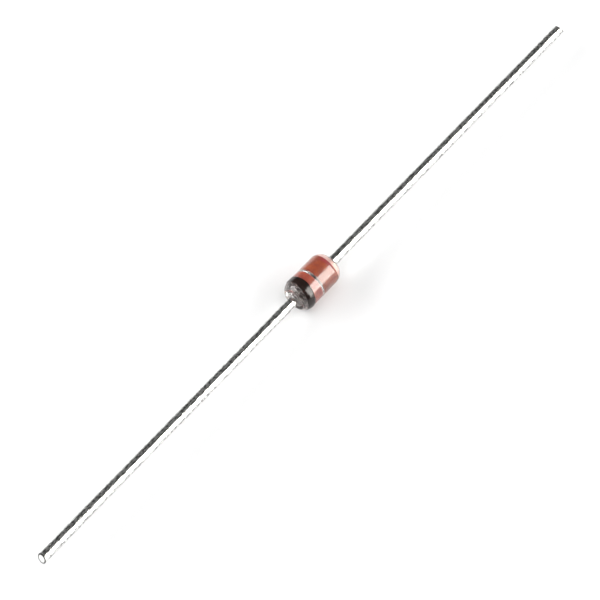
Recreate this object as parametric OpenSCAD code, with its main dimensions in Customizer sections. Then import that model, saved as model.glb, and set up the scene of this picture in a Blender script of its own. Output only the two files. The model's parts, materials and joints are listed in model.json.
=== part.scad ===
// Axial glass zener diode.
// A clear glass sleeve is fused over two metal studs, which clamp the chip between their faces.
// A tinned wire lead is welded to the outer face of each stud by a bead inside the sleeve's open
// mouth, and a black ring on the glass marks the cathode.
// The axis lies along X with the cathode at -X, and the origin is the middle of the chip.

/* [Glass sleeve] */
// Outside diameter of the fused sleeve
sleeve_d = 2.6; // [2.1:0.05:3.2]
// Length of the sleeve over its two rims
sleeve_len = 4.1; // [3.3:0.05:5.2]
// Radius of the melted shoulder that runs from the outside down to each rim
shoulder_r = 0.9; // [0.7:0.05:1.1]
// How far along the axis the melted shoulder runs
shoulder_run = 0.75; // [0.5:0.05:0.85]
// Radius of the rounded lip inside each mouth
lip_r = 0.06; // [0.03:0.01:0.12]
// Least flat that the shoulder leaves on each rim
rim_land = 0.04; // [0.02:0.01:0.1]
// How far the softened glass has flowed in between the two studs
collar_in = 0.16; // [0.06:0.01:0.36]

/* [Studs] */
// Diameter of each stud, and of the bore that is fused to it
stud_d = 1.64; // [1.3:0.02:1.9]
// Depth of each stud's outer face inside the sleeve's mouth
mouth_depth = 0.2; // [0.12:0.02:0.6]
// Bevel on the edges of each stud
stud_bevel = 0.05; // [0.02:0.01:0.1]

/* [Leads] */
// Diameter of the lead wire
lead_d = 0.8; // [0.6:0.01:0.98]
// Length of each lead outside the sleeve
lead_len = 27.7; // [8:0.1:35]
// Bevel left by the cut at the free end of each lead
tip_bevel = 0.07; // [0.02:0.01:0.15]

/* [Welds] */
// Gap between the mouth's wall and the weld bead, where the wire is upset against its stud
bead_gap = 0.15; // [0.04:0.01:0.2]
// Thickness of the weld bead
bead_t = 0.2; // [0.14:0.02:0.34]
// Rounding of the weld bead's free edge
bead_round = 0.1; // [0.04:0.01:0.14]
// Radius of the hollow fillet from the bead up to the wire
root_fillet = 0.09; // [0.04:0.01:0.12]

/* [Chip] */
// Gap between the square chip's corners and the collar of glass around it
corner_gap = 0.06; // [0.03:0.01:0.2]
// Thickness of the chip
chip_t = 0.12; // [0.08:0.01:0.3]
// Margin left free on the chip's face around each silver contact
bump_margin = 0.12; // [0.04:0.01:0.2]
// Height of each silver contact
bump_t = 0.03; // [0.02:0.01:0.12]
// How much narrower each contact is where it meets its stud, measured on the diameter
bump_taper = 0.08; // [0.02:0.01:0.2]

/* [Cathode band] */
// Width of the band along the axis
band_w = 0.72; // [0.4:0.02:1.2]
// Distance from the cathode rim to the band
band_inset = 0.46; // [0.2:0.01:0.7]
// Thickness of the ink
band_t = 0.03; // [0.02:0.005:0.06]

/* [Hidden] */
$fn = 96;

// Colours as they show: pale glass, red oxide, bright tin, grey silicon, silver and black ink
glass_tint = [0.93, 0.82, 0.77, 0.5];
oxide_red = [0.66, 0.25, 0.14];
tin_white = [0.80, 0.80, 0.78];
silicon_grey = [0.24, 0.25, 0.29];
silver_white = [0.86, 0.85, 0.82];
ink_black = [0.07, 0.06, 0.06];

sleeve_r = sleeve_d / 2;
stud_r = stud_d / 2;
lead_r = lead_d / 2;
bead_r = stud_r - bead_gap;
collar_r = stud_r - collar_in;

// The shoulder stops where it would thin the rim to less than its lip and its flat
shoulder_drop = sleeve_r - stud_r - lip_r - rim_land;
shoulder_most = sqrt(pow(shoulder_r, 2) - pow(max(shoulder_r - shoulder_drop, 0), 2));

// The bead's rounding and the wire's root fillet share the step from the wire to the bead's edge
bead_step = bead_r - lead_r;
bead_edge = min(bead_round, bead_step / 2);
root_r = min(root_fillet, bead_step - bead_edge);

// The largest square chip whose corners keep their gap to the collar, and the contact on its face
chip_side = sqrt(2) * (collar_r - corner_gap);
bump_d = chip_side - 2 * bump_margin;

// Stations along the axis, as distances from the middle of the chip
rim_x = sleeve_len / 2;
shoulder_x = rim_x - min(shoulder_run, shoulder_most);
chip_face_x = chip_t / 2;
stud_inner_x = chip_face_x + bump_t;
stud_outer_x = rim_x - mouth_depth;
weld_outer_x = stud_outer_x + bead_t + root_r;
tip_x = rim_x + lead_len;
wire_len = tip_x - weld_outer_x;

// Turns a form whose axis is Z so that its axis is X, towards the anode
module towards_anode() {
    rotate([0, 90, 0]) children();
}

// Turns a form whose axis is Z so that its axis is -X, towards the cathode
module towards_cathode() {
    rotate([0, -90, 0]) children();
}

// Half section of the sleeve's outside, filled to the axis and grown outwards by skin:
// a straight wall with a melted shoulder at each end, cut off square at the rims
module sleeve_outline(skin = 0) {
    translate([0, -shoulder_x]) square([sleeve_r + skin, 2 * shoulder_x]);
    for (end = [-1, 1]) {
        intersection() {
            translate([sleeve_r - shoulder_r, end * shoulder_x]) circle(shoulder_r + skin);
            translate([0, -rim_x]) square([sleeve_r + skin, 2 * rim_x]);
        }
    }
}

// Half section of the rounded lip, as what it takes off the sharp edge of a mouth
module lip_cut() {
    difference() {
        translate([stud_r, rim_x - lip_r]) square(lip_r);
        translate([stud_r + lip_r, rim_x - lip_r]) circle(lip_r);
    }
}

// Half section of one mouth, from the outer edge of its stud out through the rim
module mouth_cut() {
    mouth_x = stud_outer_x - stud_bevel;
    translate([0, mouth_x]) square([stud_r, rim_x - mouth_x]);
    lip_cut();
}

// The glass is fused to both studs, so their own outline is what makes its bore,
// and the collar between them leaves a closed space for the chip
module glass_sleeve() {
    color(glass_tint) towards_anode() rotate_extrude() difference() {
        sleeve_outline();
        translate([0, -stud_inner_x]) square([collar_r, 2 * stud_inner_x]);
        for (end = [0, 1]) {
            mirror([0, end]) {
                stud_outline();
                mouth_cut();
            }
        }
    }
}

// Half section of a stud with bevelled edges, standing on its inner face
module stud_outline() {
    flat_r = stud_r - stud_bevel;
    polygon([
        [0, stud_inner_x],
        [flat_r, stud_inner_x],
        [stud_r, stud_inner_x + stud_bevel],
        [stud_r, stud_outer_x - stud_bevel],
        [flat_r, stud_outer_x],
        [0, stud_outer_x]
    ]);
}

module stud() {
    rotate_extrude() stud_outline();
}

module cathode_stud() {
    color(oxide_red) towards_cathode() stud();
}

module anode_stud() {
    color(oxide_red) towards_anode() stud();
}

// Half section of the weld bead: a disc seated flat on the stud, with its free edge rounded
module bead_outline() {
    square([bead_r - bead_edge, bead_t]);
    square([bead_r, bead_t - bead_edge]);
    translate([bead_r - bead_edge, bead_t - bead_edge]) circle(bead_edge);
}

// Half section of the hollow fillet between the bead's face and the wire
module root_outline() {
    difference() {
        translate([0, bead_t]) square([lead_r + root_r, root_r]);
        translate([lead_r + root_r, bead_t + root_r]) circle(root_r);
    }
}

// Weld bead seated on the outer face of its stud, with the fillet that runs up to the wire
module weld() {
    translate([0, 0, stud_outer_x]) rotate_extrude() {
        bead_outline();
        root_outline();
    }
}

module cathode_weld() {
    color(tin_white) towards_cathode() weld();
}

module anode_weld() {
    color(tin_white) towards_anode() weld();
}

// Half section of the wire, with the bevel that the cut leaves at its free end
module wire_outline() {
    polygon([
        [0, 0],
        [lead_r, 0],
        [lead_r, wire_len - tip_bevel],
        [lead_r - tip_bevel, wire_len],
        [0, wire_len]
    ]);
}

// Straight wire that starts where its weld's fillet has narrowed to the wire's own thickness
module lead() {
    translate([0, 0, weld_outer_x]) rotate_extrude() wire_outline();
}

module cathode_lead() {
    color(tin_white) towards_cathode() lead();
}

module anode_lead() {
    color(tin_white) towards_anode() lead();
}

module zener_die() {
    color(silicon_grey) cube([chip_t, chip_side, chip_side], center = true);
}

// Plated silver contact, standing on the chip's face
module bump() {
    translate([0, 0, chip_face_x]) cylinder(h = bump_t, d1 = bump_d, d2 = bump_d - bump_taper);
}

module cathode_bump() {
    color(silver_white) towards_cathode() bump();
}

module anode_bump() {
    color(silver_white) towards_anode() bump();
}

// Ring of ink that follows the glass, down over the start of the shoulder at the cathode end
module cathode_band() {
    color(ink_black) towards_cathode() rotate_extrude() intersection() {
        difference() {
            sleeve_outline(skin = band_t);
            sleeve_outline();
        }
        translate([0, rim_x - band_inset - band_w]) square([sleeve_d, band_w]);
    }
}

glass_sleeve();
cathode_stud();
anode_stud();
cathode_weld();
anode_weld();
cathode_lead();
anode_lead();
zener_die();
cathode_bump();
anode_bump();
cathode_band();
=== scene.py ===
# %% [markdown]
# # A glass zener diode with wire leads
# The real part is small enough to lose on a bench: a glass bead four millimetres long, sealed
# over two metal studs that pinch a silicon chip, with a tinned wire welded to each stud.
# The CAD model already fixes every size, so this lesson only adds looks: smooth surfaces,
# glass that bends light, oxide, tin and ink. Each piece is measured off the CAD frame.

# %% Load the frame
import json
import math

import bmesh
import bpy
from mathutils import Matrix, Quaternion, Vector


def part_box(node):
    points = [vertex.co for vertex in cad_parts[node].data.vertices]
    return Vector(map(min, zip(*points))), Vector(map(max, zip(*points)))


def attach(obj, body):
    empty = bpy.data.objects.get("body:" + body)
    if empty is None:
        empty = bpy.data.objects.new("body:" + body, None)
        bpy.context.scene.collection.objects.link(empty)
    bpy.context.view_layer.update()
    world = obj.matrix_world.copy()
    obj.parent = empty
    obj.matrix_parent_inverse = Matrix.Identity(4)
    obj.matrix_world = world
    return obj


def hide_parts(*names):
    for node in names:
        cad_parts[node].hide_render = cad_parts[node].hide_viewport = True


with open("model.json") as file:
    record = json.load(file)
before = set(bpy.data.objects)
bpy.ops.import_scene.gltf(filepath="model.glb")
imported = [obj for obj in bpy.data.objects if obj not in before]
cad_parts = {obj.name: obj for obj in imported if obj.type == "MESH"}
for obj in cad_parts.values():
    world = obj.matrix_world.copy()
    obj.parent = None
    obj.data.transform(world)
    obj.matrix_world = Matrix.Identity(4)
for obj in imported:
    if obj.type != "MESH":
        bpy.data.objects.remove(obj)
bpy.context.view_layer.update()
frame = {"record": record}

# %% [markdown]
# ## Sizes
# All profiles below are written in millimetres, as a maker would, and turned into metres once,
# when a mesh is made. The CAD boxes give where each piece starts and stops along X, and how far
# it reaches from the axis. Two sizes aren't the edge of any box: the wire's radius comes from the
# record's mount, which states it, and the glass collar stands a fixed gap off the chip's corners.

# %% Measure the CAD pieces
MM = 0.001


def along(node):
    """Where a node starts and stops along X, in mm."""
    low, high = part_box(node)
    return low.x / MM, high.x / MM


def reach(node):
    """How far a node reaches from the axis, in mm."""
    low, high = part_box(node)
    return max(-low.y, high.y, -low.z, high.z) / MM


rim_x, sleeve_r = along("glass_sleeve")[1], reach("glass_sleeve")
stud_in, stud_out = along("anode_stud")
stud_r = reach("anode_stud")
weld_in, weld_out = along("anode_weld")
bead_r = reach("anode_weld")
tip_x = along("anode_lead")[1]
wire_r = frame["record"]["mounts"][0]["dims"]["r_mm"]
chip_x, chip_half = along("zener_die")[1], reach("zener_die")
corner_gap = 0.06
collar_r = chip_half * math.sqrt(2) + corner_gap
bump_r = reach("anode_bump")
band_x0, band_x1 = along("cathode_band")
ink_r = reach("cathode_band")
print(f"across, in mm: sleeve {2 * sleeve_r:.2f}, stud {2 * stud_r:.2f}, bead {2 * bead_r:.2f},")
print(f"wire {2 * wire_r:.2f}, chip {2 * chip_half:.2f}; rim at {rim_x:.2f}, tip at {tip_x:.2f}")

# %% [markdown]
# ## Camera
# The photograph looks down steeply at the part, which runs from the lower left to the upper
# right. Both wires show almost the same thickness from end to end, so the camera was far away
# with a long lens. The aim point is a little left of and below the body, because the body sits
# right of and above the middle of the picture. Three vectors, back, right and up, place the
# camera, which is easier to reason about than a set of Euler angles.

# %% Place the camera
view_turn, view_rise = math.radians(-49.8), math.radians(60)
view_distance = 250 * MM
view_lens, nearest, farthest = 203.1, 0.01, 5
aim_left, aim_down = 0.894 * MM, 1.338 * MM

back = Vector((
    math.sin(view_turn) * math.cos(view_rise),
    -math.cos(view_turn) * math.cos(view_rise),
    math.sin(view_rise),
))
right = Vector((math.cos(view_turn), math.sin(view_turn), 0))
up = back.cross(right)
camera = bpy.data.objects.new("camera", bpy.data.cameras.new("camera"))
bpy.context.collection.objects.link(camera)
camera.data.lens = view_lens
camera.data.clip_start, camera.data.clip_end = nearest, farthest
camera.location = back * view_distance - right * aim_left - up * aim_down
camera.rotation_mode = "QUATERNION"
camera.rotation_quaternion = (-back).to_track_quat("-Z", "Y")
bpy.context.scene.camera = camera
print("camera at", [round(v, 4) for v in camera.location], "lens", view_lens)

# %% [markdown]
# ## The room
# A bright wire shows its room: white where it mirrors a lamp or the white floor, dark grey where
# it mirrors the unlit room. So the world is kept dim for every ray except the camera's own, which
# sees a white backdrop. A Light Path node tells the two apart. The helper below adds a node and
# sets or links its inputs in one call, because every tree in this lesson needs that.

# %% Build the world
scene = bpy.context.scene
scene.view_settings.view_transform = "Standard"


def add(tree, kind, inputs=None, **settings):
    """Adds a node, sets it up, and links or sets its inputs."""
    made = tree.nodes.new(kind)
    for name, value in settings.items():
        setattr(made, name, value)
    for socket, value in (inputs or {}).items():
        if isinstance(value, bpy.types.NodeSocket):
            tree.links.new(value, made.inputs[socket])
        else:
            made.inputs[socket].default_value = value
    return made


room_grey, backdrop_white = 0.15, 1.0
world = bpy.data.worlds.new("studio")
scene.world = world
world.use_nodes = True
sky = world.node_tree
sky.nodes.clear()
path = add(sky, "ShaderNodeLightPath")
room = add(sky, "ShaderNodeBackground", {"Color": (room_grey,) * 3 + (1,)})
backdrop = add(sky, "ShaderNodeBackground", {"Color": (backdrop_white,) * 3 + (1,)})
seen = add(sky, "ShaderNodeMixShader", {
    0: path.outputs["Is Camera Ray"], 1: room.outputs[0], 2: backdrop.outputs[0],
})
add(sky, "ShaderNodeOutputWorld", {"Surface": seen.outputs[0]})
print("world with", len(sky.nodes), "nodes")

# %% [markdown]
# ## Lamps
# Two jobs are split between two sets of lamps. The softboxes are what glass and tin mirror: a
# tall strip at the right makes the long highlight on the body, a paler one around it softens its
# edge, and a low one and one at the left add smaller glints. They light no matt surface. The tent
# is what a matt floor needs: two low, wide panels and a roof, which give broad, faint shadows at
# both sides, and which no surface mirrors. A lamp's power is its radiance times pi times its area,
# so a box can be resized without getting dimmer.

# %% Hang the lamps
def softbox(name, turn, rise, roll, distance, width, height, radiance, colour=(1, 1, 1)):
    """A rectangular lamp that faces the part; turn is from +X towards +Y, angles in degrees."""
    turn, rise = math.radians(turn), math.radians(rise)
    level = math.cos(rise)
    away = Vector((math.cos(turn) * level, math.sin(turn) * level, math.sin(rise)))
    lamp = bpy.data.lights.new(name, "AREA")
    lamp.shape = "RECTANGLE"
    lamp.size, lamp.size_y = width, height
    lamp.energy = radiance * math.pi * width * height
    lamp.color = colour
    placed = bpy.data.objects.new(name, lamp)
    bpy.context.collection.objects.link(placed)
    placed.location = away * distance
    facing = away.to_track_quat("Z", "Y")
    placed.rotation_euler = (Quaternion(away, math.radians(roll)) @ facing).to_euler()
    placed.visible_camera = False
    return placed


warm = (1.0, 0.975, 0.93)
# each row: name, turn, rise, roll, distance, width, height, radiance and, if not white, colour
softboxes = [
    softbox("softbox_right", -62, 34, -16, 1.2, 0.38, 1.02, 6.2, warm),
    softbox("softbox_right_veil", -62, 33, -16, 1.25, 0.48, 1.42, 3.5, warm),
    softbox("softbox_right_low", -67, 10, 0, 1.3, 0.5, 0.42, 3.0, warm),
    softbox("softbox_left", 132, 28, 0, 1.2, 0.9, 0.9, 4.0),
]
tent = [
    softbox("tent_left", 128, 20, 0, 1.2, 1.4, 0.62, 7.5),
    softbox("tent_right", -60, 24, 0, 1.2, 1.4, 0.85, 3.9),
    softbox("tent_roof", 0, 90, 0, 1.5, 1.6, 1.6, 1.7),
]
for lamp in softboxes:
    lamp.visible_diffuse = False
for lamp in tent:
    lamp.visible_glossy = lamp.visible_transmission = False
print(len(softboxes), "softboxes that are mirrored,", len(tent), "panels that spread light")

# %% [markdown]
# ## Floor
# The part lies on a white sheet, on the ink of its band, which stands out furthest. The floor is
# one wide disc of matt paper just under that. Its white is a little below one, as real paper's
# is, and the lamps do the rest.

# %% Lay the floor
floor_z, floor_r, floor_steps = -ink_r * MM, 0.9, 96
paper_white = 0.88
floor_mesh = bpy.data.meshes.new("floor")
floor_maker = bmesh.new()
bmesh.ops.create_circle(floor_maker, cap_ends=True, radius=floor_r, segments=floor_steps)
bmesh.ops.translate(floor_maker, verts=floor_maker.verts, vec=(0, 0, floor_z))
floor_maker.to_mesh(floor_mesh)
floor_maker.free()
floor = bpy.data.objects.new("floor", floor_mesh)
bpy.context.collection.objects.link(floor)
paper = bpy.data.materials.new("white_paper")
paper.use_nodes = True
paper_shader = paper.node_tree.nodes["Principled BSDF"]
paper_shader.inputs["Base Color"].default_value = (paper_white,) * 3 + (1,)
paper_shader.inputs["Roughness"].default_value = 0.8
paper_shader.inputs["Specular IOR Level"].default_value = 0.2
floor_mesh.materials.append(paper)
print("floor at", round(floor_z / MM, 3), "mm")

# %% [markdown]
# ## A shared effect: grain
# Nothing on the part is one even colour: wire has drawing lines, oxide has clouds, ink has thin
# places. All of these are noise that is stretched in some direction, so one shader group makes
# them all. Its Scale counts waves per millimetre along each axis, and Low and High set how hard
# the pattern is cut. It gives out a plain value, and each material decides what that drives.

# %% Build the grain group
def group_of(name, kind, sockets_in, sockets_out):
    """Starts a node group with named inputs and outputs."""
    tree = bpy.data.node_groups.new(name, kind)
    for label, socket, value in sockets_in:
        made = tree.interface.new_socket(label, in_out="INPUT", socket_type=socket)
        if value is not None:
            made.default_value = value
    for label, socket in sockets_out:
        tree.interface.new_socket(label, in_out="OUTPUT", socket_type=socket)
    return tree, add(tree, "NodeGroupInput"), add(tree, "NodeGroupOutput")


grain, grain_in, grain_out = group_of(
    "grain", "ShaderNodeTree",
    [("Scale", "NodeSocketVector", (1, 1, 1)), ("Offset", "NodeSocketVector", (0, 0, 0)),
     ("Low", "NodeSocketFloat", 0.3), ("High", "NodeSocketFloat", 0.7)],
    [("Value", "NodeSocketFloat")],
)
place = add(grain, "ShaderNodeTexCoord").outputs["Object"]
in_mm = add(grain, "ShaderNodeVectorMath", {0: place, "Scale": 1 / MM}, operation="SCALE")
spread = add(grain, "ShaderNodeVectorMath", {
    0: in_mm.outputs[0], 1: grain_in.outputs["Scale"], 2: grain_in.outputs["Offset"],
}, operation="MULTIPLY_ADD")
clouds = add(grain, "ShaderNodeTexNoise", {
    "Vector": spread.outputs[0], "Scale": 1.0, "Detail": 3.0, "Roughness": 0.55,
})
cut = add(grain, "ShaderNodeMapRange", {
    "Value": clouds.outputs[0],
    "From Min": grain_in.outputs["Low"], "From Max": grain_in.outputs["High"],
})
grain.links.new(cut.outputs[0], grain_out.inputs["Value"])
print("grain group with inputs", [s.name for s in grain_in.outputs if s.name])

# %% [markdown]
# ## Helpers for finishes
# Each finish is one Principled shader and a few masks. A mask says how much of something there is
# at a point: grain is one, and a ramp between two distances along an axis is another. Masks are
# multiplied or added, and then choose between colours, roughnesses or heights. These helpers keep
# each of those steps to one line.

# %% Write the helpers
def finish(name):
    """Starts a material and returns it with its tree and its shader."""
    made = bpy.data.materials.new(name)
    made.use_nodes = True
    return made, made.node_tree, made.node_tree.nodes["Principled BSDF"]


def grained(tree, scale, low, high, offset=(0, 0, 0)):
    """Places the grain group with its own stretch and cut."""
    made = add(tree, "ShaderNodeGroup", node_tree=grain)
    for name, value in (("Scale", scale), ("Offset", offset), ("Low", low), ("High", high)):
        made.inputs[name].default_value = value
    return made.outputs["Value"]


def axes(tree):
    """The x, y and z of a point of the piece, as three values in metres."""
    point = add(tree, "ShaderNodeTexCoord").outputs["Object"]
    return add(tree, "ShaderNodeSeparateXYZ", {0: point}).outputs


def ramp(tree, value, start, stop, least=0.0, most=1.0):
    """Goes from least to most as a distance goes from start to stop, both in mm."""
    return add(tree, "ShaderNodeMapRange", {
        "Value": value, "From Min": start * MM, "From Max": stop * MM,
        "To Min": least, "To Max": most,
    }).outputs[0]


def maths(tree, operation, *values, **settings):
    """One step of arithmetic on sockets or numbers."""
    made = add(tree, "ShaderNodeMath", dict(enumerate(values)), operation=operation, **settings)
    return made.outputs[0]


def blend_colours(tree, mask, first, second):
    """First colour where the mask is 0, second where it is 1; either may be a node's output."""
    colours = {6: first, 7: second}
    for socket, colour in colours.items():
        if not isinstance(colour, bpy.types.NodeSocket):
            colours[socket] = (*colour, 1)
    return add(tree, "ShaderNodeMix", {0: mask, **colours}, data_type="RGBA").outputs[2]


def ranged(tree, value, low, high):
    """Turns a mask into a value between low and high."""
    made = add(tree, "ShaderNodeMapRange", {"Value": value, "To Min": low, "To Max": high})
    return made.outputs[0]


def bumped(tree, shader, height, depth):
    """Raises the surface by a mask; depth is in mm."""
    made = add(tree, "ShaderNodeBump", {"Height": height, "Distance": depth * MM, "Strength": 1.0})
    tree.links.new(made.outputs[0], shader.inputs["Normal"])


print("helpers ready")

# %% [markdown]
# ## Tinned wire
# The leads are wire that was drawn through a die and tinned. Drawing leaves fine lines along the
# wire, and the tin lies on it in soft lumps, dull in patches and pitted with dark specks. An
# image could hold all that, but grain needs no unwrapping: it is stretched along X for the lines.

# %% Mix the tin
tin, tin_tree, tin_shader = finish("tinned_wire")
tin_shader.inputs["Metallic"].default_value = 1.0
drawn = grained(tin_tree, (0.25, 26, 26), 0.3, 0.7)
dull = grained(tin_tree, (1.4, 3.0, 3.0), 0.35, 0.70, (4, 1, 7))
specks = grained(tin_tree, (4.4, 7, 7), 0.45, 0.57, (8, 3, 2))
lumps = grained(tin_tree, (2.6, 5, 5), 0.3, 0.7, (9, 5, 3))
tone = blend_colours(tin_tree, dull, (0.98, 0.98, 0.96), (0.86, 0.86, 0.84))
tone = blend_colours(tin_tree, specks, tone, (0.33, 0.33, 0.325))
tin_tree.links.new(ranged(tin_tree, dull, 0.14, 0.29), tin_shader.inputs["Roughness"])
pit_share, lump_share = -1.5, 3.4
relief = maths(tin_tree, "MULTIPLY_ADD", specks, pit_share, drawn)
relief = maths(tin_tree, "MULTIPLY_ADD", lumps, lump_share, relief)
bumped(tin_tree, tin_shader, relief, depth=0.0016)
print("tin with", len(tin_tree.nodes), "nodes so far")

# %% [markdown]
# ## Cropped ends
# A cutter cropped the wires at a slant, so their end faces are fresh bright metal inside a rim
# that is painted near black. Two distances mask them: one to the slanted plane of the cut, and
# one to the axis.
# The plane is kept as a slope, because the shape of the wires needs it too, further on.

# %% Colour the cropped ends
cut_slant, cut_side = 0.26, Vector((0, 0.35, 0.94))
slope = cut_side * cut_slant / (2 * wire_r)
cut_x = tip_x - cut_slant / 2
face_from, face_to, rim_from, rim_to = 0.07, 0.04, 0.12, 0.08
tin_x, tin_y, tin_z = axes(tin_tree)
to_cut = maths(tin_tree, "MULTIPLY_ADD", tin_y, slope.y, maths(tin_tree, "ABSOLUTE", tin_x))
to_cut = maths(tin_tree, "MULTIPLY_ADD", tin_z, slope.z, to_cut)
at_cut = ramp(tin_tree, to_cut, cut_x - face_from, cut_x - face_to)
squares = [maths(tin_tree, "MULTIPLY", side, side) for side in (tin_y, tin_z)]
off_axis = maths(tin_tree, "SQRT", maths(tin_tree, "ADD", *squares))
at_rim = ramp(tin_tree, off_axis, wire_r - rim_from, wire_r - rim_to)
# the outer rim of each cut face, painted near black
dark_rim = maths(tin_tree, "MULTIPLY", at_cut, at_rim)
tone = blend_colours(tin_tree, at_cut, tone, (0.95, 0.95, 0.94))
tone = blend_colours(tin_tree, dark_rim, tone, (0.035, 0.034, 0.033))
tin_tree.links.new(tone, tin_shader.inputs["Base Color"])
print("finish", tin.name, "with", len(tin_tree.nodes), "nodes")

# %% [markdown]
# ## Weld metal
# The bead that holds a wire to its stud melted and froze in a moment. Its skin is puddled, bright
# where it ran clean and crusted dark where it burnt. Two grains do it: one that only drives the
# bump, and one that is the crust. The crust's mask is also raised towards -Y, the side away from
# the left lamps, so that side is darker: that part is painted shade, not burn.

# %% Mix the weld metal
bead, bead_tree, bead_shader = finish("weld_bead")
bead_shader.inputs["Metallic"].default_value = 1.0
puddled = grained(bead_tree, (7, 7, 7), 0.32, 0.68, (5, 3, 1))
burnt = grained(bead_tree, (9, 6, 6), 0.44, 0.60, (2, 9, 4))
# painted shade: the crust mask rises towards -Y, the side away from the left lamps
bead_lit_y, bead_shaded_y = 0.05, -0.35
bead_shade_side = ramp(bead_tree, axes(bead_tree)[1], bead_lit_y, bead_shaded_y, most=0.75)
crust_and_shade = maths(bead_tree, "MAXIMUM", burnt, bead_shade_side)
weld_tone = blend_colours(bead_tree, crust_and_shade, (0.90, 0.89, 0.88), (0.17, 0.14, 0.13))
bead_tree.links.new(weld_tone, bead_shader.inputs["Base Color"])
bead_tree.links.new(ranged(bead_tree, crust_and_shade, 0.18, 0.42), bead_shader.inputs["Roughness"])
bumped(bead_tree, bead_shader, puddled, depth=0.05)
print("finish", bead.name, "with", len(bead_tree.nodes), "nodes")

# %% [markdown]
# ## Red oxide
# The studs were baked red before sealing, because molten glass wets the oxide and not the bare
# metal. The colour clouds from brick to amber, browner on the anode's stud, with dark flecks and
# a darker crimson patch on the upper side near the anode's end. Everything here depends on a
# point's own place, so both studs can share one material and still differ.

# %% Mix the oxide's colours
oxide, oxide_tree, oxide_shader = finish("oxide_stud")
baked = grained(oxide_tree, (1.6, 2.4, 2.4), 0.3, 0.7)
flecks = grained(oxide_tree, (7, 9, 9), 0.52, 0.72, (3, 5, 2))
stud_x, stud_y, stud_z = axes(oxide_tree)
anode_half = maths(oxide_tree, "GREATER_THAN", stud_x, 0.0)
brick = blend_colours(oxide_tree, baked, (0.325, 0.040, 0.026), (0.45, 0.083, 0.033))
amber = blend_colours(oxide_tree, baked, (0.22, 0.025, 0.006), (0.345, 0.061, 0.006))
rust = blend_colours(oxide_tree, anode_half, brick, amber)
rust = blend_colours(oxide_tree, flecks, rust, (0.11, 0.012, 0.012))
# a darker crimson patch on the upper side, near the anode's end
crimson_x, crimson_z = (1.30, 1.55), (0.55, 0.75)
near_anode_end, on_top = ramp(oxide_tree, stud_x, *crimson_x), ramp(oxide_tree, stud_z, *crimson_z)
crimson_patch = maths(oxide_tree, "MULTIPLY", near_anode_end, on_top)
rust = blend_colours(oxide_tree, crimson_patch, rust, (0.27, 0.022, 0.030))
print("oxide colours with", len(oxide_tree.nodes), "nodes so far")

# %% [markdown]
# ## Where the oxide stops
# Towards the welds the heat took the oxide off. The bare metal is silver at the cathode, streaked
# with dark scale, and a clean copper pink at the anode. The scale is drawn denser towards -Y, the
# side away from the left lamps: that part is painted shade. The edge of the oxide wanders, so the
# clouds shift the place where the mask begins.

# %% Bare the ends
oxide_low, oxide_high = -0.94, 1.62
oxide_wander, oxide_fade = 0.05, 0.03
scale_lit_y, scale_shaded_y = 0.25, -0.35
oxide_mid, oxide_half = (oxide_low + oxide_high) / 2, (oxide_high - oxide_low) / 2
beyond_mid = maths(oxide_tree, "ABSOLUTE", maths(oxide_tree, "SUBTRACT", stud_x, oxide_mid * MM))
uneven = maths(oxide_tree, "MULTIPLY_ADD", baked, oxide_wander * MM, beyond_mid)
bare = ramp(oxide_tree, uneven, oxide_half, oxide_half + oxide_fade)
streaks = grained(oxide_tree, (13, 2.8, 2.8), 0.38, 0.50, (6, 2, 9))
# painted shade: the dark scale grows denser towards -Y, the side away from the left lamps
scale_shade_side = ramp(oxide_tree, stud_y, scale_lit_y, scale_shaded_y, least=0.74, most=0.97)
scale_and_shade = maths(oxide_tree, "MULTIPLY", streaks, scale_shade_side)
metal = blend_colours(oxide_tree, scale_and_shade, (0.86, 0.85, 0.83), (0.10, 0.082, 0.075))
metal = blend_colours(oxide_tree, anode_half, metal, (0.95, 0.67, 0.61))
print("oxide stops at", oxide_low, "and", oxide_high, "mm")

# %% [markdown]
# ## Gap faces and crinkles
# The faces that pinch the chip were never oxidised, and though the seal has stained them in spots,
# they brighten the gap between the studs. The bare silver at the cathode is crinkled, and smoother
# than the oxide, so its crinkles glint.

# %% Bare the inner faces and finish the oxide
skin_out, skin_in = 0.02, 0.008
off_middle = maths(oxide_tree, "ABSOLUTE", stud_x)
at_gap = ramp(oxide_tree, off_middle, stud_in + skin_out, stud_in + skin_in)
gap_stain = grained(oxide_tree, (4, 5, 5), 0.50, 0.58, (3, 7, 1))
gap_metal = blend_colours(oxide_tree, gap_stain, (0.95, 0.94, 0.92), (0.30, 0.15, 0.12))
metal = blend_colours(oxide_tree, at_gap, metal, gap_metal)
any_metal = maths(oxide_tree, "MAXIMUM", bare, at_gap)
stud_tone = blend_colours(oxide_tree, any_metal, rust, metal)
oxide_tree.links.new(stud_tone, oxide_shader.inputs["Base Color"])
oxide_tree.links.new(any_metal, oxide_shader.inputs["Metallic"])
smoother, crinkle_share = -0.24, 13.0
bare_silver = maths(oxide_tree, "SUBTRACT", bare, anode_half, use_clamp=True)
matt = ranged(oxide_tree, baked, 0.38, 0.55)
matt = maths(oxide_tree, "MULTIPLY_ADD", bare_silver, smoother, matt)
oxide_tree.links.new(matt, oxide_shader.inputs["Roughness"])
crinkle = grained(oxide_tree, (8, 6, 6), 0.36, 0.64, (1, 4, 8))
crinkle = maths(oxide_tree, "MULTIPLY", bare_silver, crinkle)
crinkle = maths(oxide_tree, "MULTIPLY_ADD", crinkle, crinkle_share, flecks)
bumped(oxide_tree, oxide_shader, crinkle, depth=0.004)
print("finish", oxide.name, "with", len(oxide_tree.nodes), "nodes")

# %% [markdown]
# ## Silicon and silver
# The chip was sawn out of a wafer, so its grey sides have fine saw lines across X. The contacts on
# its faces are plated silver, which grows as a fine frost. Both only show as glints in the gap,
# but a close look from the side finds them.

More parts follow.
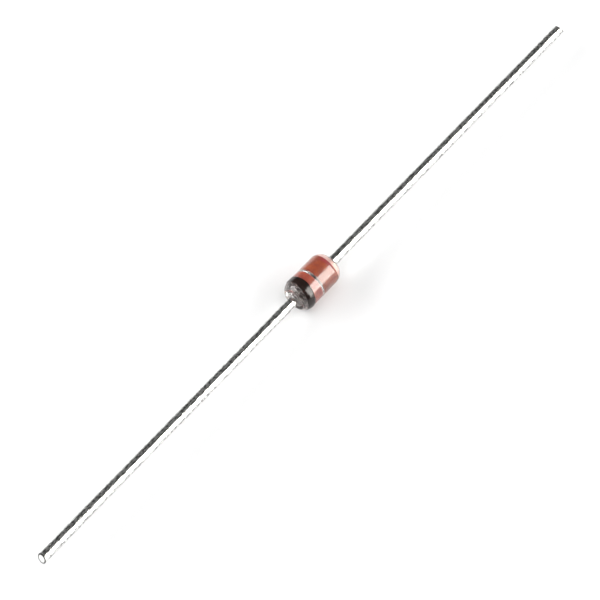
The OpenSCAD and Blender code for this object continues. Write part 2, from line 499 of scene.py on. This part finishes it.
# %% Mix the silicon and the silver
silicon, silicon_tree, silicon_shader = finish("silicon")
silicon_shader.inputs["Metallic"].default_value = 0.3
sawn = grained(silicon_tree, (40, 1.5, 1.5), 0.3, 0.7)
saw_grey = blend_colours(silicon_tree, sawn, (0.045, 0.047, 0.055), (0.11, 0.115, 0.13))
silicon_tree.links.new(saw_grey, silicon_shader.inputs["Base Color"])
silicon_tree.links.new(ranged(silicon_tree, sawn, 0.28, 0.5), silicon_shader.inputs["Roughness"])
bumped(silicon_tree, silicon_shader, sawn, depth=0.002)

silver, silver_tree, silver_shader = finish("contact_silver")
silver_shader.inputs["Metallic"].default_value = 1.0
frost = grained(silver_tree, (22, 22, 22), 0.3, 0.7)
frosted = blend_colours(silver_tree, frost, (0.84, 0.83, 0.79), (0.66, 0.65, 0.62))
silver_tree.links.new(frosted, silver_shader.inputs["Base Color"])
silver_tree.links.new(ranged(silver_tree, frost, 0.25, 0.45), silver_shader.inputs["Roughness"])
bumped(silver_tree, silver_shader, frost, depth=0.003)
print("finishes", silicon.name, "and", silver.name)

# %% [markdown]
# ## Black ink
# The band is ink that was rolled on and baked. It is almost black, a little brown where it is
# thin, and its half gloss is uneven, so the highlight that crosses it breaks up.

# %% Mix the ink
ink, ink_tree, ink_shader = finish("band_ink")
thin = grained(ink_tree, (5, 5, 5), 0.35, 0.75, (1, 8, 3))
ink_tone = blend_colours(ink_tree, thin, (0.009, 0.0038, 0.0024), (0.020, 0.0095, 0.0066))
ink_tree.links.new(ink_tone, ink_shader.inputs["Base Color"])
ink_tree.links.new(ranged(ink_tree, thin, 0.14, 0.26), ink_shader.inputs["Roughness"])
bumped(ink_tree, ink_shader, thin, depth=0.007)
print("finish", ink.name)

# %% [markdown]
# ## Sealing glass
# The sleeve is clear lead glass, which bends light a little more than window glass, so the studs
# look almost as wide as the glass itself. It froze as it flowed, so a slow grain gives it faint
# waves. Fumes of the furnace left a thin haze on it, which is a rough coat over the clear glass,
# and which lets the highlight fade out at its sides. A path tracer finds it hard to light things
# inside glass, so shadow rays, which a Light Path node picks out, are let straight through.

# %% Mix the glass
glass, glass_tree, glass_shader = finish("sealing_glass")
glass_shader.inputs["Base Color"].default_value = (0.985, 0.975, 0.97, 1)
glass_shader.inputs["Transmission Weight"].default_value = 1.0
glass_shader.inputs["IOR"].default_value = 1.54
flow = grained(glass_tree, (0.9, 1.6, 1.6), 0.2, 0.8, (2, 6, 1))
glass_tree.links.new(ranged(glass_tree, flow, 0.02, 0.07), glass_shader.inputs["Roughness"])
bumped(glass_tree, glass_shader, flow, depth=0.006)
haze = grained(glass_tree, (2.2, 3.0, 3.0), 0.3, 0.7, (7, 2, 5))
glass_tree.links.new(ranged(glass_tree, haze, 0.75, 1.0), glass_shader.inputs["Coat Weight"])
glass_shader.inputs["Coat Roughness"].default_value = 0.5
glass_path = add(glass_tree, "ShaderNodeLightPath")
open_way = add(glass_tree, "ShaderNodeBsdfTransparent", {"Color": (0.85, 0.84, 0.83, 1)})
lit_through = add(glass_tree, "ShaderNodeMixShader", {
    0: glass_path.outputs["Is Shadow Ray"], 1: glass_shader.outputs[0], 2: open_way.outputs[0],
})
glass_tree.links.new(lit_through.outputs[0], glass_tree.nodes["Material Output"].inputs["Surface"])
print("finish", glass.name)

# %% [markdown]
# ## One rule for every round piece: the lathe
# Sleeve, studs, welds, wires, contacts and band are all turned about X. A Screw or Spin modifier
# could do that, but a node tree can also shake the form a little on the way, as melted glass and
# a weld bead need. The tree takes a profile, a chain of points (x, r), and lays a grid over it:
# one row of the grid for each profile point, one column for each step of the turn. The index of a
# grid point then tells its row and its column, and the column gives the angle.

# %% Lay the grid of the lathe
lathe, lathe_in, lathe_out = group_of(
    "lathe_about_x", "GeometryNodeTree",
    [("Profile", "NodeSocketGeometry", None), ("Steps", "NodeSocketInt", 96),
     ("Melt", "NodeSocketFloat", 0.0), ("Drift", "NodeSocketFloat", 0.0),
     ("Waves", "NodeSocketVector", (1, 1, 1)), ("Seed", "NodeSocketFloat", 1.0),
     ("Finish", "NodeSocketMaterial", None)],
    [("Piece", "NodeSocketGeometry")],
)


def whole(operation, first, second):
    """One step of arithmetic on whole numbers, such as indices."""
    made = add(lathe, "FunctionNodeIntegerMath", {0: first, 1: second}, operation=operation)
    return made.outputs[0]


profile, steps_in = lathe_in.outputs["Profile"], lathe_in.outputs["Steps"]
count = add(lathe, "GeometryNodeAttributeDomainSize", {0: profile}, component="MESH")
columns = whole("ADD", steps_in, 1)
sheet = add(lathe, "GeometryNodeMeshGrid", {
    "Vertices X": count.outputs["Point Count"], "Vertices Y": columns,
})
index = add(lathe, "GeometryNodeInputIndex").outputs[0]
row, column = whole("DIVIDE_FLOOR", index, columns), whole("MODULO", index, columns)
angle = maths(lathe, "MULTIPLY", maths(lathe, "DIVIDE", column, steps_in), 2 * math.pi)
cosine, sine = maths(lathe, "COSINE", angle), maths(lathe, "SINE", angle)
print("grid of the lathe with", len(lathe.nodes), "nodes")

# %% [markdown]
# ## Turning and shaking
# Each grid point looks up its profile point by row and is swung round by its angle. Then noise may
# push it outwards, which is called melt here, or along the axis, called drift. Two numbers stored
# on each profile point say how much of either it takes, so a bore can stay true while the outside
# wavers. The noise is four-dimensional, and its fourth number is the seed.

# %% Finish the lathe tree
def sampled(kind, value):
    """Reads a value of the profile at this grid point's row."""
    made = add(lathe, "GeometryNodeSampleIndex", data_type=kind, domain="POINT")
    for socket, source in (("Geometry", profile), ("Value", value), ("Index", row)):
        lathe.links.new(source, made.inputs[socket])
    return made.outputs[0]


def turned(x, radius):
    """The point at x, swung round the axis at a radius."""
    y, z = maths(lathe, "MULTIPLY", radius, cosine), maths(lathe, "MULTIPLY", radius, sine)
    return add(lathe, "ShaderNodeCombineXYZ", {0: x, 1: y, 2: z}).outputs[0]


def pushed(noise, name, strength):
    """Noise about zero, times what the profile point takes, times the strength that is set."""
    share = add(lathe, "GeometryNodeInputNamedAttribute", {"Name": name}, data_type="FLOAT")
    about_zero = maths(lathe, "SUBTRACT", noise, 0.5)
    taken = maths(lathe, "MULTIPLY", about_zero, sampled("FLOAT", share.outputs[0]))
    return maths(lathe, "MULTIPLY", taken, strength)


spot = sampled("FLOAT_VECTOR", add(lathe, "GeometryNodeInputPosition").outputs[0])
spot_x, spot_r, _ = add(lathe, "ShaderNodeSeparateXYZ", {0: spot}).outputs
waves = add(lathe, "ShaderNodeVectorMath", {
    0: turned(spot_x, spot_r), 1: lathe_in.outputs["Waves"],
}, operation="MULTIPLY")
shaken = add(lathe, "ShaderNodeTexNoise", {
    "Vector": waves.outputs[0], "W": lathe_in.outputs["Seed"], "Scale": 1 / MM, "Detail": 2.0,
}, noise_dimensions="4D")
pushes = add(lathe, "FunctionNodeSeparateColor", {0: shaken.outputs["Color"]}).outputs
melted = maths(lathe, "ADD", spot_r, pushed(pushes[0], "melt", lathe_in.outputs["Melt"]))
drifted = maths(lathe, "ADD", spot_x, pushed(pushes[1], "drift", lathe_in.outputs["Drift"]))
moved = add(lathe, "GeometryNodeSetPosition", {
    "Geometry": sheet.outputs["Mesh"], "Position": turned(drifted, melted),
})
seam_gap = 2e-7
joined = add(lathe, "GeometryNodeMergeByDistance", {
    "Geometry": moved.outputs[0], "Distance": seam_gap,
})
smooth = add(lathe, "GeometryNodeSetShadeSmooth", {"Geometry": joined.outputs[0]})
real = add(lathe, "GeometryNodeRealizeInstances", {0: smooth.outputs[0]})
coated = add(lathe, "GeometryNodeSetMaterial", {
    "Geometry": real.outputs[0], "Material": lathe_in.outputs["Finish"],
})
lathe.links.new(coated.outputs[0], lathe_out.inputs["Piece"])
print("lathe tree with", len(lathe.nodes), "nodes")

# %% [markdown]
# ## Profiles
# A profile is a list of corners (x, r, rounding). Real edges are never sharp, and a rounded edge
# is what catches a thin line of light, so each corner is replaced by a short arc, which may use up
# not quite half of a line. A long straight run is then cut into short steps, because noise can
# only bend it where there are points.

# %% Helpers for profiles
line_share = 0.49


def rounded(corners, steps=5):
    """Replaces each (x, r, rounding) corner by an arc that touches both neighbouring lines."""
    points = []
    for i, (x, r, rounding) in enumerate(corners):
        here = Vector((x, r))
        if rounding <= 0 or i in (0, len(corners) - 1):
            points.append(here)
            continue
        one, two = Vector(corners[i - 1][:2]) - here, Vector(corners[i + 1][:2]) - here
        half = one.angle(two) / 2
        run = min(rounding / math.tan(half), one.length * line_share, two.length * line_share)
        start, end = here + one.normalized() * run, here + two.normalized() * run
        middle = here + (one.normalized() + two.normalized()).normalized() * (run / math.cos(half))
        first, last = start - middle, end - middle
        turn = 1 if first.x * last.y - first.y * last.x > 0 else -1
        for k in range(steps + 1):
            a = turn * (math.pi - 2 * half) * k / steps
            points.append(middle + Vector((first.x * math.cos(a) - first.y * math.sin(a),
                                           first.x * math.sin(a) + first.y * math.cos(a))))
    return [(p.x, p.y) for p in points]


def subdivided(points, most):
    """Adds points to a chain so that no step is longer than most."""
    chain = [points[0]]
    for a, b in zip(points, points[1:]):
        parts = max(1, math.ceil(math.dist(a, b) / most))
        chain += [(a[0] + (b[0] - a[0]) * k / parts, a[1] + (b[1] - a[1]) * k / parts)
                  for k in range(1, parts + 1)]
    return chain


print("a square corner becomes", len(rounded([(0, 0, 0), (1, 0, 0.1), (1, 1, 0)])), "points")

# %% [markdown]
# ## Before and after the lathe
# The lathe wants its profile as a mesh of edges, with the two shares stored on its points. What
# comes out of it is welded, and its faces are pointed outwards. Blender guesses outwards from the
# shape, and on a disc as thin as a contact it can guess wrong, so a mesh whose volume comes out
# negative is turned over.

# %% Helpers for meshes
sliver = 1e-8


def profile_line(name, points, shares):
    """A chain of (x, r) points in mm as an object; shares are rules for what a point takes."""
    line = bpy.data.meshes.new(name)
    line.from_pydata([(x * MM, r * MM, 0) for x, r in points],
                     [(i, i + 1) for i in range(len(points) - 1)], [])
    for label, rule in shares.items():
        values = line.attributes.new(label, "FLOAT", "POINT")
        values.data.foreach_set("value", [rule(x, r) if rule else 0.0 for x, r in points])
    made = bpy.data.objects.new(name, line)
    bpy.context.collection.objects.link(made)
    return made


def mended(mesh):
    """Welds a mesh and points it outwards; returns its open edges and its volume in mm3."""
    maker = bmesh.new()
    maker.from_mesh(mesh)
    bmesh.ops.remove_doubles(maker, verts=maker.verts, dist=seam_gap)
    bmesh.ops.dissolve_degenerate(maker, edges=maker.edges, dist=sliver)
    bmesh.ops.recalc_face_normals(maker, faces=maker.faces)
    if maker.calc_volume(signed=True) < 0:
        bmesh.ops.reverse_faces(maker, faces=maker.faces)
    open_edges = sum(1 for e in maker.edges if not e.is_manifold)
    volume = maker.calc_volume(signed=True) / MM ** 3
    maker.to_mesh(mesh)
    maker.free()
    return open_edges, volume


print(f"points closer than {seam_gap / MM:.4f} mm are welded")

# %% [markdown]
# ## From profile to piece
# One call hangs the lathe on a profile as a modifier, keeps what it makes as a plain mesh, and
# mends it. It prints the open edges, which have to be none, and the volume, which has to be
# positive. Each piece then rides on the part's one body and hides the CAD node that it stands
# for. Most pieces come in pairs, drawn for the anode's end and mirrored for the cathode's.

# %% Helpers for turned pieces
def turn_piece(name, points, material, steps=96, melt=None, drift=None, melt_mm=0.0, drift_mm=0.0,
               waves=(1, 1, 1), seed=1.0):
    """Turns a chain of (x, r) points in mm about X and returns the finished object."""
    helper = profile_line(name + "_profile", points, {"melt": melt, "drift": drift})
    modifier = helper.modifiers.new("lathe", "NODES")
    modifier.node_group = lathe
    settings = {"Steps": steps, "Melt": melt_mm * MM, "Drift": drift_mm * MM, "Waves": waves,
                "Seed": seed, "Finish": material}
    for socket in lathe.interface.items_tree:
        if socket.in_out == "INPUT" and socket.name in settings:
            modifier[socket.identifier] = settings[socket.name]
    bpy.context.view_layer.update()
    evaluated = helper.evaluated_get(bpy.context.evaluated_depsgraph_get())
    mesh = bpy.data.meshes.new_from_object(evaluated)
    bpy.data.objects.remove(helper)
    open_edges, volume = mended(mesh)
    mesh.name = name
    piece = bpy.data.objects.new(name, mesh)
    bpy.context.collection.objects.link(piece)
    print(f"{name}: {len(mesh.polygons)} faces, {open_edges} open edges, {volume:.3f} mm3")
    return piece


def belongs(piece, slot, *nodes):
    """Ties a piece to the part and hides the nodes that it stands for; slot is not used."""
    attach(piece, "root")
    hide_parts(*nodes)


def towards(end, points):
    """A chain as it is for the anode's end, 1, or mirrored for the cathode's, -1."""
    return [(end * x, r) for x, r in points]


ends = (("cathode", -1), ("anode", 1))
print("pieces in pairs point to", [side for side, _ in ends])

# %% [markdown]
# ## Studs
# Each stud is a slug cut from rod, with its edges broken. A cylinder with a bevel would do, but
# the lathe also gives it the slight waviness of cut metal, which shows as soft changes of tone
# through the glass. The two ends get different seeds, so they aren't twins.

# %% Turn the studs
stud_edge, stud_step = 0.05, 0.08
corners = [
    (stud_in, 0, 0), (stud_in, stud_r, stud_edge),
    (stud_out, stud_r, stud_edge), (stud_out, 0, 0),
]
for side, end in ends:
    chain = towards(end, subdivided(rounded(corners), stud_step))
    stud = turn_piece(f"{side}_stud_slug", chain, oxide, steps=128, melt=lambda x, r: r / stud_r,
                      melt_mm=0.004, waves=(3, 3, 3), seed=3 + end)
    belongs(stud, "oxide_stud", f"{side}_stud")

# %% [markdown]
# ## Weld beads
# The end of the wire is melted against its stud and squashed into a bead, and a hollow fillet
# runs from the bead up to the wire. The profile draws both. Melt makes it lumpy, but only away
# from the wire, so that the wire comes out of it round. The bead's neck is a hair thicker than the
# wire and goes on a little past the fillet, so no seam shows where the two meet.

# %% Turn the weld beads
root_r, bead_edge, bead_foot = 0.09, 0.10, 0.02
neck_skin, neck_run, neck_round, neck_cap = 0.004, 0.05, 0.01, 0.01
root_steps, bead_step, melt_reach = 8, 0.04, 0.1
bead_top, neck_r, neck_x = weld_out - root_r, wire_r + neck_skin, weld_out + neck_run
corners = [
    (weld_in, 0, 0), (weld_in, bead_r, bead_foot), (bead_top, bead_r, bead_edge),
    (bead_top, neck_r, root_r), (neck_x, neck_r, neck_round), (neck_x + neck_cap, 0, 0),
]
for side, end in ends:
    chain = towards(end, subdivided(rounded(corners, root_steps), bead_step))
    weld = turn_piece(
        f"{side}_weld_bead", chain, bead, steps=96,
        melt=lambda x, r: min(1.0, max(0.0, (r - wire_r) / melt_reach)), melt_mm=0.05,
        waves=(2.5, 2.5, 2.5), seed=15 + end,
    )
    belongs(weld, "tinned_wire", f"{side}_weld")

# %% [markdown]
# ## Leads
# The wire is a plain rod to the eye, but a hand-straightened one: melt with a long wave lets its
# outline waver by a few thousandths of a millimetre, which breaks the mirror lines along it. Its
# inner end starts a little inside the weld. The free end is cropped by a cutter, which leaves a
# bevel, a raised burr and a slightly dished face. The jaws close at a slant, so the last stretch
# of the wire is pulled back more on its upper side: its points slide along the wire, which keeps
# the wire round.

# %% Turn the leads
burr_bevel, burr_land, burr_fall, dish = 0.03, 0.03, 0.01, 0.015
edge_round, bevel_round, wire_step = 0.01, 0.03, 0.3
wire_sink, cut_run = 0.04, 1.2
wire_start, burr_r = weld_out - wire_sink, wire_r - burr_bevel
corners = [
    (wire_start, 0, 0), (wire_start, wire_r, edge_round),
    (tip_x - burr_bevel, wire_r, bevel_round), (tip_x, burr_r, edge_round),
    (tip_x - burr_fall, burr_r - burr_land, edge_round), (tip_x - dish, 0, 0),
]
for side, end in ends:
    chain = towards(end, subdivided(rounded(corners), wire_step))
    lead = turn_piece(
        f"{side}_lead_wire", chain, tin, steps=64, melt=lambda x, r: 1.0, melt_mm=0.008,
        waves=(0.5, 1.2, 1.2), seed=5 + end,
    )
    for corner in lead.data.vertices:
        near_cut = max(0, 1 - (tip_x - end * corner.co.x / MM) / cut_run)
        pull = cut_slant / 2 * MM + corner.co.dot(slope)
        corner.co.x -= end * near_cut * pull
    belongs(lead, "tinned_wire", f"{side}_lead")

# %% [markdown]
# ## Chip
# The chip is a square of silicon. It isn't round, so the lathe is no use for it, and it is a
# bevelled block from mesh code: a cube of size 2 is scaled by half the chip's sizes, and its edges
# are broken, because the saw never leaves a knife edge.

# %% Make the chip
chip_edge = 0.02
chip_halves = (chip_x * MM, chip_half * MM, chip_half * MM)
chip_mesh = bpy.data.meshes.new("chip")
chip_maker = bmesh.new()
bmesh.ops.create_cube(chip_maker, size=2)
bmesh.ops.scale(chip_maker, verts=chip_maker.verts, vec=chip_halves)
bmesh.ops.bevel(chip_maker, geom=chip_maker.edges, offset=chip_edge * MM, segments=2,
                affect="EDGES", profile=0.5)
bmesh.ops.recalc_face_normals(chip_maker, faces=chip_maker.faces)
chip_maker.to_mesh(chip_mesh)
chip_maker.free()
chip_mesh.materials.append(silicon)
chip = bpy.data.objects.new("chip_sawn", chip_mesh)
bpy.context.collection.objects.link(chip)
belongs(chip, "silicon", "zener_die")
print("chip of", len(chip_mesh.polygons), "faces")

# %% [markdown]
# ## Contacts
# A silver contact is plated on each face of the chip, and tapers towards its stud. It is round, so
# the lathe turns it like the rest, with nothing shaken.

# %% Turn the contacts
bump_taper, bump_foot, bump_edge = 0.04, 0.01, 0.015
corners = [
    (chip_x, 0, 0), (chip_x, bump_r, bump_foot),
    (stud_in, bump_r - bump_taper, bump_edge), (stud_in, 0, 0),
]
for side, end in ends:
    contact = turn_piece(f"{side}_contact", towards(end, rounded(corners)), silver, steps=64)
    belongs(contact, "contact_silver", f"{side}_bump")

# %% [markdown]
# ## Glass sleeve: its section
# The sleeve started as a plain piece of tube. In the sealing furnace it softened, clung to the
# studs and pulled its cut ends round, so the outside runs down each end in a shoulder and rolls
# into the open mouth over a small lip. Between the studs it sagged inwards and left a collar
# around the chip. The bore is a hair smaller than the studs, so that no film of air shows between
# glass and metal. Only half of the section is drawn, and the other half is its mirror image.

# %% Draw the sleeve's section
shoulder_r, lip_r, rim_land = 0.9, 0.06, 0.04
seal, collar_sag, wall_step, bore_step = 0.004, 0.03, 0.06, 0.08
shoulder_steps, lip_steps, edge_steps, collar_steps = 24, 10, 4, 6
bore_r, collar_x = stud_r - seal, stud_in + seal
shoulder_drop = sleeve_r - stud_r - lip_r - rim_land
shoulder_run = math.sqrt(shoulder_r ** 2 - (shoulder_r - shoulder_drop) ** 2)
shoulder_x = rim_x - shoulder_run


def arc(centre_x, centre_r, radius, start, stop, steps):
    """Points on an arc in the section, angles in degrees from +X."""
    turns = [math.radians(start + (stop - start) * k / steps) for k in range(steps + 1)]
    return [(centre_x + radius * math.cos(a), centre_r + radius * math.sin(a)) for a in turns]


shoulder_end = math.degrees(math.acos(shoulder_run / shoulder_r))
half_outside = (
    subdivided([(0, sleeve_r), (shoulder_x, sleeve_r)], wall_step)
    + arc(shoulder_x, sleeve_r - shoulder_r, shoulder_r, 90, shoulder_end, shoulder_steps)[1:]
)
half_inside = (
    arc(rim_x - lip_r, bore_r + lip_r, lip_r, 0, -90, lip_steps)
    + subdivided([(rim_x - lip_r, bore_r), (stud_in + stud_edge, bore_r)], bore_step)[1:]
    + arc(stud_in + stud_edge, bore_r - stud_edge, stud_edge - seal, 90, 180, edge_steps)[1:]
    + [(collar_x * k / collar_steps, collar_r + collar_sag * (k / collar_steps) ** 2)
       for k in range(collar_steps, -1, -1)]
)
half_section = half_outside + half_inside
mirrored = [(-x, r) for x, r in reversed(half_section[:-1])][:-1]
section = half_section + mirrored + half_section[:1]
print(f"section of {len(section)} points, shoulder from {shoulder_x:.3f} to {rim_x:.3f} mm")

# %% [markdown]
# ## Glass sleeve: turning it
# The section is a closed loop, so the lathe makes a closed tube of it. The outside wavers, most of
# all at the melted ends, and the bore stays true, because it has to lie in the studs.

# %% Turn the sleeve
bore_margin, wall_share = 0.01, 0.3


def softened(x, r):
    """How much a point of the section wavers: not at all in the bore, fully at the ends."""
    if r < bore_r + bore_margin:
        return 0.0
    return wall_share if abs(x) < shoulder_x else 1.0


sleeve = turn_piece("glass_tube", section, glass, steps=160, melt=softened, melt_mm=0.02,
                    waves=(0.8, 0.8, 0.8), seed=11)
belongs(sleeve, "sealing_glass", "glass_sleeve")

# %% [markdown]
# ## Cathode band
# The band is rolled on with a wheel, and it runs over the start of the shoulder. So its section
# follows the glass, thins out at both edges, and has its underside a hair inside the glass. Drift
# lets the edges wander, as ink does.

# %% Turn the band
ink_t, ink_sink, band_steps = ink_r - sleeve_r, 0.004, 36
edge_ink, ink_gain = 0.15, 0.5
band_mid, band_w = (band_x0 + band_x1) / 2, band_x1 - band_x0


def glass_r(x):
    """Radius of the glass outside at x."""
    beyond = max(0.0, abs(x) - shoulder_x)
    return sleeve_r - shoulder_r + math.sqrt(shoulder_r ** 2 - beyond ** 2)


def ink_over(k):
    """Share of the full thickness of ink at step k across the band."""
    return min(1, edge_ink + ink_gain * min(k, band_steps - k))


band_xs = [band_x0 + band_w * k / band_steps for k in range(band_steps + 1)]
outside = [(x, glass_r(x) + ink_t * ink_over(k)) for k, x in enumerate(band_xs)]
inside = [(x, glass_r(x) - ink_sink) for x in reversed(band_xs)]
band = turn_piece(
    "cathode_band_ink", outside + inside + outside[:1], ink, steps=160,
    drift=lambda x, r: abs(x - band_mid) / band_w * 2, drift_mm=0.10,
    waves=(1.2, 1.2, 1.2), seed=21,
)

# %% [markdown]
# ## The band's lean
# The wheel wasn't square to the part, so the ring leans to one side, and it is narrower where the
# wheel pressed less. Each point therefore slides along the glass, and keeps its height over it.

# %% Lean the band
lean_side = Vector((0, -0.94, -0.35))
lean_mm, sag_mm, pinch = 0.187, 0.12, 0.25
for corner in band.data.vertices:
    x, around = corner.co.x / MM, Vector((0, corner.co.y, corner.co.z))
    lean = around.normalized().dot(lean_side)
    width = 1 - pinch * lean ** 2
    slid = band_mid + (x - band_mid) * width - lean_mm * lean - sag_mm * lean ** 2
    height = around.length / MM - glass_r(x)
    corner.co = around.normalized() * (glass_r(slid) + height) * MM + Vector((slid * MM, 0, 0))
print("the band leans by", lean_mm, "mm and sags by", sag_mm, "mm at its low side")
belongs(band, "band_ink", "cathode_band")
